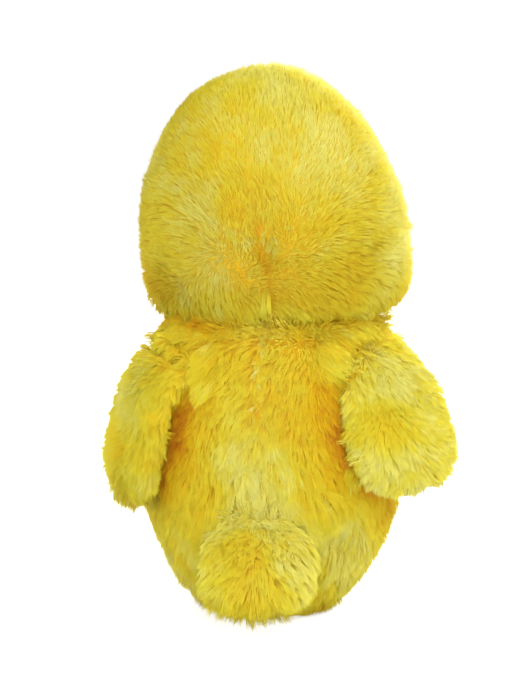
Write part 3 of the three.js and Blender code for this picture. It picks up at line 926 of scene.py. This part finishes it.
LIMB_COATS = {  # flow, tone, length and gather, then flat_root, the painted shade by the body and inner
    "wing_left": (
        lambda points, normals, combed: combed,
        lambda points, way: 0.7 + 0.06 * (1 - way) + 0.03 * ease(way, 0.7, 1),
        lambda points, way: mix(9.5, 10.5, ease(way, 0.6, 1)) + 3 * ease_mm(points[:, 2], 124, 136),
        constant(0.9), 0, 0.25, 4.5 * MM,
    ),
    "wing_right": (
        hollow_flow, hollow_tone, hollow_length,
        lambda points: 0.6 + 0.9 * (1 - ease_mm(points[:, 2], 90, 101)), 0, 0.3, 2 * MM,
    ),
    "tail": (
        tail_flow,
        # Paler at its top by the back: painted light, where the pile faces up.
        lambda points, way: mix(0.95, 0.72, ease(way, 0.05, 0.6)),
        lambda points, way: mix(7, 10.5, ease(way, 0.1, 0.5)),
        constant(0.6), 1, 0, 0,
    ),
}


def nap_style(direction):
    """The short brushed nap of fleece, which leans one way."""
    return {
        "flow": lambda points, normals: columns(*direction) + 0.5 * wander(points, 12, 91),
        "tone": lambda points: 0.5 + 0.16 * ripple(points, 9, 94) + 0.1 * ripple(points, 3, 95),
        "length": constant(1.1 * MM), "lay": lay(25, 65), "rings": (0.0, 1.0), "radius": 0.1 * MM,
        "tufts": ((5, 0.3),), "wild": 0.5, "mottle": 0.1, "outward": constant(0),
        "material": nap, "slot": "fleece", "bare": lambda points: points[:, 2] < 2 * MM,
    }


# Tufts that stand out. Each is ten numbers, in mm: three for its place, three for the way that it
# points, then its reach, strands, length and tone

def row(count, seed, sizes, first, last, turn=0.25):
    """Tufts strewn between two tufts, each pointing its own way.

    sizes holds reach and strands, for both if they differ, and first and last hold the rest.
    """
    rng = np.random.default_rng(seed)
    sizes, first, last = (np.array(numbers, float) for numbers in (sizes, first, last))
    made = []
    for number in range(count):
        share = number / (count - 1)
        reach, strands_in = mix(sizes[:2], sizes[-2:], share)
        tuft = mix(first, last, share)
        place = tuft[:3] + rng.normal(size=3) * (1.2, 0.4, 1.2)
        way = tuft[3:6] + rng.normal(size=3) * turn
        length = tuft[6] * rng.uniform(0.8, 1.2)
        tone = tuft[7] + rng.normal() * 0.06
        made.append((*place, *way, reach, int(strands_in), length, tone))
    return made


HEAD_TUFTS = [
    *row(9, 33, (1.1, 16), (3, 57, 195, 0.1, 0, -1, 5, 0.86), (-3, 57, 185, -0.4, 0, -1, 5, 0.8), 0.5),
    *row(4, 31, (1.6, 30), (-6, 57, 196, -1, 0, 0.2, 6, 0.8), (10, 57, 204, 0.5, 0, 0.8, 6, 0.8), 0.4),
    (2.6, 53, 166, 0, 0, -1, 1.6, 50, 13, 0.72),
    (8, 54, 165, -0.8, 0, -0.8, 3, 60, 9, 0.6),
    *row(14, 1, (3, 60), (58, 18, 160, -0.3, 0, -1, 11, 0.6), (8, 50, 158, -0.7, 0, -1, 11, 0.62)),
    *row(12, 2, (3, 50), (0, 50, 158, -0.8, 0, -1, 9, 0.5), (-52, 24, 160, -1, 0, -1, 9, 0.55)),
]
BODY_TUFTS = [
    *row(30, 3, (1.6, 20), (4, 46, 152, 0, 0, -1, 6, 0.8), (6, 55, 118, 0.2, 0, -1, 6, 0.74), 0.7),
    *row(16, 4, (1.8, 20, 2, 24), (7, 56, 116, 0.2, 0, -1, 7, 0.7), (9, 57, 84, 0, 0, -1, 8, 0.78), 0.4),
    # Long pale tufts that fall over the tail's top, pale as painted light, where the pile faces up.
    *row(12, 5, (3, 40), (22, 55, 96, 0.3, 0, -1, 10, 0.85), (12, 57, 78, 0, 0, -1, 11, 0.85), 0.3),
    *row(12, 6, (3, 40), (0, 57, 98, -0.2, 0, -1, 10, 0.82), (-8, 56, 76, -0.2, 0, -1, 11, 0.82), 0.3),
    *row(9, 7, (3, 50), (-26, 50, 66, 0.9, 0, -0.5, 10, 0.82), (-42, 38, 42, 0.9, 0, -0.5, 10, 0.82)),
    *row(8, 8, (3, 50), (-18, 50, 40, 0.5, 0, -1, 10, 0.8), (-40, 36, 26, 0.9, 0, -0.4, 10, 0.78)),
    *row(8, 9, (3, 40), (-36, 44, 84, 0.5, 0, -1, 8, 0.5), (-44, 38, 60, 0.5, 0, -1, 8, 0.65)),
    *row(10, 20, (4, 90), (34, 40, 147, 0.9, 0, -1, 12, 0.6), (42, 8, 144, 1, 0, -0.8, 13, 0.62)),
    *row(12, 21, (4, 90), (-34, 42, 149, -1, 0, -0.7, 13, 0.6), (-44, 8, 146, -1, 0, -0.5, 16, 0.62)),
    *row(16, 23, (4, 80), (30, 45, 142, 0.9, 0.2, -1, 13, 0.6), (31, 49, 120, 0.7, 0.2, -1, 12, 0.58)),
    *row(13, 24, (4, 80), (-27, 46, 143, -0.9, 0.2, -1, 13, 0.62), (-26, 48, 131, -0.7, 0.2, -1, 10, 0.6)),
    *row(18, 30, (3, 60), (0, 48, 151, 0, 1, 0.1, 9, 0.5), (-37, 40, 149, -0.4, 1, 0.1, 9, 0.6), 0.15),
    *row(12, 32, (3, 50), (4, 48, 151, 0, 1, 0.1, 8, 0.55), (30, 42, 149, 0.4, 1, 0.1, 8, 0.5), 0.15),
]
LIMB_TUFTS = {
    "wing_left": [
        *row(10, 10, (3, 70), (77, 28, 72, 0.2, 0, -1, 14, 0.75), (58, 32, 67, -0.1, 0, -1, 14, 0.7)),
        *row(6, 11, (1.6, 16), (48, 48, 108, -0.7, 0, -0.8, 7, 0.6), (50, 48, 92, -1, 0, -0.5, 8, 0.6), 0.4),
        *row(6, 12, (1.6, 16), (54, 46, 96, -0.1, 0, -1, 7, 0.85), (56, 42, 82, 0, 0, -1, 7, 0.85)),
        *row(7, 35, (3, 60), (57, 13, 136, 1, 0, 0.1, 12, 0.7), (63, 14, 128, 1, 0, -0.3, 9, 0.7)),
    ],
    "wing_right": [
        *row(8, 13, (2.4, 60), (-38, 50, 116, 0.6, 0.4, -1, 8, 0.72), (-40, 50, 102, 0.7, 0.3, -1, 9, 0.7)),
        *row(12, 14, (3, 50), (-40, 48, 98, 1, 0, -0.4, 11, 0.78), (-60, 48, 76, 0.3, 0, -1, 10, 0.78)),
        *row(8, 34, (3, 60), (-50, 13, 148, -1, 0, 0.3, 12, 0.7), (-60, 15, 137, -1, 0, -0.2, 10, 0.72)),
        *row(5, 15, (3, 60), (-66, 44, 78, -0.7, 0, -1, 4, 0.75), (-76, 36, 79, -0.6, 0, -1, 7, 0.72)),
        *row(6, 22, (3, 60), (-78, 32, 76, -0.5, 0, -1, 12, 0.7), (-81, 34, 82, -0.5, 0, -1, 9, 0.72)),
    ],
    "tail": [
        # The tufts on the tail's top are paler the higher they start: painted light, where the pile faces
        # up.
        *row(14, 27, (3, 60), (-10, 59, 69, -0.2, 0.6, -1, 12, 0.93), (24, 59, 69, 0.2, 0.6, -1, 12, 0.93)),
        *row(14, 28, (3, 50), (-12, 65, 65, -0.3, 0.3, -1, 10, 0.86), (26, 65, 65, 0.3, 0.3, -1, 10, 0.86)),
        *row(14, 29, (3, 40), (-13, 71, 61, -0.3, 0.2, -1, 8, 0.76), (28, 71, 61, 0.3, 0.2, -1, 8, 0.76)),
        *row(10, 17, (3, 70), (26, 74, 32, 0.4, 0, -1, 14, 0.72), (4, 78, 24, 0, 0, -1, 14, 0.74)),
        *row(6, 18, (3, 60), (0, 76, 26, -0.2, 0, -1, 12, 0.7), (-10, 70, 32, -0.8, 0, -0.8, 10, 0.7)),
    ],
}


# Build

body_nodes = ("body_cover", "body_filling", "pellet_pouch")
body_skin = skin("body_skin", body_nodes, 2, 3, 6, backing)
head_skin = skin("head_skin", ("head_cover", "head_filling"), 1.6, 3, 6, backing)

# The head's dent, its seam up to there, and the knob of pile over the dent, which stands out
press(head_skin, [[HEAD_DIMPLE + (0, 0, -2 * MM)]], 3.6, 9)
press(head_skin, [[(x * MM, 55 * MM, z * MM) for x, z in HEAD_SEAM[:4]]], 1.6, 3)
press(head_skin, [[HEAD_DIMPLE + (-2 * MM, 0, 13 * MM)]], -1.4, 7)
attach(body_skin, "torso")
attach(head_skin, "torso")
limbs = {
    limb: skin(f"{limb}_skin", (f"{limb}_cover", f"{limb}_filling"), 2.4, 2, 4, backing)
    for limb in ("wing_left", "wing_right", "tail")
}
press(limbs["wing_left"], [[(x * MM, 42 * MM, z * MM) for x, z in WING_FOLD]], 3, 6)

# The left wing's edge is drawn away from the back, in and forwards, between its shoulder and its tip
places = places_of(limbs["wing_left"])
x, y, z = places.T
drawn = (1 - ease_mm(x, 46, 72)) * ease_mm(z, 60, 80) * (1 - ease_mm(z, 116, 134))
shape(limbs["wing_left"], places + drawn[:, None] * np.array((6, -4, 0)) * MM)

# Bill: an upper lip stuffed between two panels, with its seam round the edge, over a flat lower lip
bills = {}
for name, nodes, most in (
    ("bill_upper", ("bill_upper_cover", "bill_upper_filling"), 1.0),
    ("bill_lower", ("bill_lower",), 0.5),
):
    piece = skin(f"{name}_skin", nodes, 0.3, 1.1, 4, fleece)
    low, high = (np.array(corner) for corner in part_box(nodes[0]))
    level = (low[2] + high[2]) / 2
    root = high[1]

    def seams(points, level=level, root=root):
        at_edge = bell(points[:, 2] - level, 1.4) * (points[:, 1] < root - 8 * MM)
        return np.maximum(at_edge, points[:, 1] > root - 5 * MM)

    plump(piece, seams, most)
    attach(piece, "torso")
    bills[name] = piece

# Feet: a stuffed top with three toes, which two seams part, over a flat sole
feet = {}
for side, foot in ((1, "foot_left"), (-1, "foot_right")):
    nodes = (f"{foot}_top", f"{foot}_filling", f"{foot}_sole")
    low, high = (np.array(corner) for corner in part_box(nodes[0]))
    middle = (low[0] + high[0]) / 2
    wide = high[0] - low[0]
    toes = []
    for aside in (-1, 1):
        share = np.linspace(0, 1, 14)
        toes.append(columns(
            middle + side * 0.6 * MM + aside * wide * mix(0.2, 0.13, share),
            mix(low[1] + 4.5 * MM, low[1] + 0.52 * (high[1] - low[1]), share),
            mix(7 * MM, high[2] - 0.6 * MM, np.sin(share * math.pi / 2) ** 0.6),
        ))
    piece = skin(f"{foot}_skin", nodes, 0.2, 1.2, 3, fleece)
    tree = surface_of(piece)
    toes = [np.array([tree.find_nearest(point)[0] for point in toe]) for toe in toes]

    def seams(points, toes=toes):
        flat = points[:, 2] < 2.6 * MM
        lines = np.concatenate(toes)
        away = np.min(np.linalg.norm(points[:, None] - lines[None], axis=2), axis=1)
        return np.maximum(flat, bell(away, 1.5))

    plump(piece, seams, 1.2)
    press(piece, toes, 1.3, 1.5)
    feet[foot] = (piece, toes)

body_solid, head_solid = solid_of(body_skin), solid_of(head_skin)
limb_solids = [solid_of(piece) for piece in limbs.values()]
bill_solids = [solid_of(piece) for piece in bills.values()]
foot_solids = [solid_of(piece) for piece, toes in feet.values()]

# Eyes: a smooth dome with a rim and a shank, along the axis of its CAD solid
eye_solids = []
for side in ("left", "right"):
    node = frame["nodes"][f"eye_{side}"]
    places = places_of(node)
    middle = places.mean(0)
    spans, axes = np.linalg.eigh(np.cov((places - middle).T))
    lone = np.argmax([abs(spans[k] - np.mean(np.delete(spans, k))) for k in range(3)])
    axis = axes[:, lone] * np.sign(axes[:, lone] @ (middle - HEAD_MIDDLE))
    along = places @ axis
    reach = np.linalg.norm(places - middle - np.outer((places - middle) @ axis, axis), axis=1)
    rim, front, back = reach.max(), along.max(), along.min()
    shelf = along[reach > rim * 0.9].min()
    shank = reach[along < shelf - 1 * MM].max()
    profile = [(shank * 0.8, back), (shank, back + 0.8 * MM), (shank, shelf)]
    low = shelf + 0.5 * MM
    profile += [(rim - 0.5 * MM, shelf), (rim - 0.15 * MM, shelf + 0.15 * MM), (rim, low)]
    turns = np.linspace(0, math.pi / 2, 13)[1:-1]
    profile += [(rim * math.cos(turn), low + (front - shelf - 0.5 * MM) * math.sin(turn)) for turn in turns]
    aside = Vector(axis).orthogonal().normalized()
    upward = Vector(axis).cross(aside)
    foot_of = Vector(middle - axis * (middle @ axis))
    made = bmesh.new()
    turns = [2 * math.pi * k / EYE_SIDES for k in range(EYE_SIDES)]
    ways = [math.cos(turn) * aside + math.sin(turn) * upward for turn in turns]
    loops = [
        [made.verts.new(foot_of + Vector(axis) * float(height) + way * float(radius)) for way in ways]
        for radius, height in profile
    ]
    tube(made, loops)
    top = made.verts.new(foot_of + Vector(axis) * front)
    for k in range(EYE_SIDES):
        made.faces.new((loops[-1][k], loops[-1][(k + 1) % EYE_SIDES], top))
    piece = finished(made, f"eye_{side}_dome", eye_plastic)
    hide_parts(f"eye_{side}")
    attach(piece, "torso")
    eye_solids.append(solid_of(piece))
    washer = frame["nodes"][f"eye_washer_{side}"]
    washer.data.materials.clear()
    washer.data.materials.append(washer_plastic)

# Pile
others = [body_solid, *bill_solids, *eye_solids]
for piece in pile("head_fur", head_skin, STRANDS["head"], head_style, 1, others, 0.6 * MM):
    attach(piece, "torso")
others = [head_solid, *limb_solids, *foot_solids]
for piece in pile("body_fur", body_skin, STRANDS["body"], body_style, 2, others):
    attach(piece, "torso")

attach(tufts("head_tufts", head_skin, HEAD_TUFTS, 50, coat=shaded_head_pile), "torso")
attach(tufts("body_tufts", body_skin, BODY_TUFTS, 51), "torso")

# Wings and tail, whose pile runs from the hinge to the far end and is combed more firmly close to the hinge
hinges = {joint["child"]: joint for joint in frame["joints"]}
for number, (limb, base) in enumerate(limbs.items()):
    places = places_of(base)
    root = np.array(hinges[limb]["pos_m"], float)
    far = places[np.argsort(np.linalg.norm(places - root, axis=1))[-40:]].mean(0)
    style = limb_style(root, far, *LIMB_COATS[limb], 60 + 10 * number)
    made = pile(f"{limb}_fur", base, STRANDS[limb], style, 10 + number, [body_solid])
    made.append(tufts(f"{limb}_tufts", base, LIMB_TUFTS[limb], 40 + number))
    for piece in [base, *made]:
        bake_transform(piece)

for number, (name, base) in enumerate(bills.items()):
    others = [head_solid] + [solid for solid, other in zip(bill_solids, bills) if other != name]
    for piece in pile(f"{name}_nap", base, STRANDS["bill"], nap_style((0, -1, -0.2)), 20 + number, others):
        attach(piece, "torso")

for number, (foot, (base, toes)) in enumerate(feet.items()):
    made = pile(f"{foot}_nap", base, STRANDS["foot"], nap_style((0, -1, 0)), 30 + number, [body_solid])
    for side, toe in zip(("in", "out"), toes):
        made.append(stitches(f"{foot}_stitches_{side}", base, toe))
    for piece in [base, *made]:
        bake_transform(piece)


# Floor, light and camera

def stage_material(name, colour, lift):
    """Matt surface that also glows a little to the camera alone, so that it shows pale."""
    made, nodes, links = material(name)
    matt = put(nodes, "BsdfDiffuse", {"Color": (*colour, 1)})
    glow = put(nodes, "Emission")
    path = put(nodes, "LightPath")
    strength = put(nodes, "Math", {1: lift})
    strength.operation = "MULTIPLY"
    both = put(nodes, "AddShader")
    wire(
        links,
        (path, "Is Camera Ray", strength, 0), (strength, "Value", glow, "Strength"),
        (matt, "BSDF", both, 0), (glow, "Emission", both, 1),
        (both, "Shader", put(nodes, "OutputMaterial"), "Surface"),
    )
    return made


def lamp(name, place, size, power):
    """A soft square lamp, this many metres wide and watts strong, that looks at the toy's middle."""
    data = bpy.data.lights.new(name, "AREA")
    data.size = size
    data.energy = power
    made = link(bpy.data.objects.new(name, data))
    made.location = place
    made.rotation_euler = (VIEW_TARGET - Vector(place)).to_track_quat("-Z", "Y").to_euler()


floor_mesh = bpy.data.meshes.new("floor")
corners = [(x * FLOOR_REACH, y * FLOOR_REACH, 0) for x, y in ((-1, -1), (1, -1), (1, 1), (-1, 1))]
floor_mesh.from_pydata(corners, [], [(0, 1, 2, 3)])
floor_mesh.materials.append(stage_material("floor", (0.8, 0.8, 0.8), 0.62))
link(bpy.data.objects.new("floor", floor_mesh))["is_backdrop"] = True

world = bpy.data.worlds.new("studio")
bpy.context.scene.world = world
world.use_nodes = True
nodes = world.node_tree.nodes
nodes.clear()
background = put(nodes, "Background", {"Color": (1, 1, 1, 1)})
to_camera = put(nodes, "LightPath")
level = put(nodes, "MapRange", {"To Min": 0.58, "To Max": 1.0})
wire(
    world.node_tree.links,
    (to_camera, "Is Camera Ray", level, "Value"), (level, "Result", background, "Strength"),
    (background, "Background", put(nodes, "OutputWorld"), "Surface"),
)

lamp("key", (-0.2, 0.9, 1.25), 0.9, 18)
lamp("fill", (0.05, 1.3, 0.18), 0.4, 10)
lamp("side_right", (-1.3, 0.2, 0.5), 0.8, 7)
lamp("side_left", (1.3, 0.2, 0.5), 0.8, 7)
lamp("front", (-0.5, -1.1, 0.7), 1.0, 46)

camera_data = bpy.data.cameras.new("camera")
camera_data.sensor_width = 36
camera_data.lens = VIEW_LENS
camera_data.clip_start = 0.01
camera = link(bpy.data.objects.new("camera", camera_data))
tilt = math.radians(VIEW_ELEVATION)
back = Vector((0, math.cos(tilt), math.sin(tilt)))
camera.location = VIEW_TARGET + back * VIEW_DISTANCE
camera.rotation_euler = (-back).to_track_quat("-Z", "Y").to_euler()
bpy.context.scene.camera = camera
bpy.context.scene.view_settings.view_transform = "Standard"

low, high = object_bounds()
